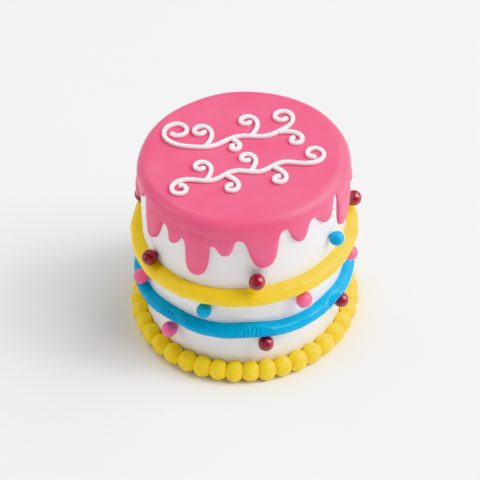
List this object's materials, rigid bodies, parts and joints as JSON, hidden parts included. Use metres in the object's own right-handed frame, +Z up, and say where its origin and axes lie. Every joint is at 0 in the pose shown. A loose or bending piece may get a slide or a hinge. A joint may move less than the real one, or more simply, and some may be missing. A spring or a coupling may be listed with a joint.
{
  "type": "birthday cake",
  "caption": "Small round fondant celebration cake with a pink dripping cap, fondant ropes and sugar pearls round its side, a beaded foot and piped scrollwork on top.",
  "frame": {"origin": "middle of the cake's flat base, on the surface it stands on", "axes": "+Z up through the cake, -Y the front, +X to the right seen from the front"},
  "size_m": [0.119, 0.1177, 0.1022],
  "materials": {
    "white_fondant": "smooth rolled fondant, satin matte",
    "pink_fondant": "smooth rolled fondant, soft satin",
    "yellow_fondant": "hand-rolled fondant, soft satin",
    "blue_fondant": "hand-rolled fondant, soft satin",
    "maroon_pearl": "polished sugar pearl, glossy",
    "pink_pearl": "polished sugar pearl, satin",
    "blue_pearl": "polished sugar pearl, satin",
    "white_icing": "piped royal icing, soft sheen"
  },
  "bodies": {
    "root": {"cake_body": "white_fondant", "drip_cap": "pink_fondant", "yellow_rope": "yellow_fondant", "blue_rope": "blue_fondant", "bead_border": "yellow_fondant", "pearl_01_maroon": "maroon_pearl", "pearl_02_maroon": "maroon_pearl", "pearl_03_maroon": "maroon_pearl", "pearl_04_blue": "blue_pearl", "pearl_05_maroon": "maroon_pearl", "pearl_06_pink": "pink_pearl", "pearl_07_blue": "blue_pearl", "pearl_08_pink": "pink_pearl", "pearl_09_blue": "blue_pearl", "pearl_10_pink": "pink_pearl", "pearl_11_pink": "pink_pearl", "pearl_12_maroon": "maroon_pearl", "pearl_13_blue": "blue_pearl", "pearl_14_maroon": "maroon_pearl", "pearl_15_pink": "pink_pearl", "pearl_16_maroon": "maroon_pearl", "pearl_17_maroon": "maroon_pearl", "pearl_18_blue": "blue_pearl", "pearl_19_pink": "pink_pearl", "pearl_20_maroon": "maroon_pearl", "pearl_21_blue": "blue_pearl", "scroll_upper": "white_icing", "scroll_lower": "white_icing"}
  },
  "joints": []
}
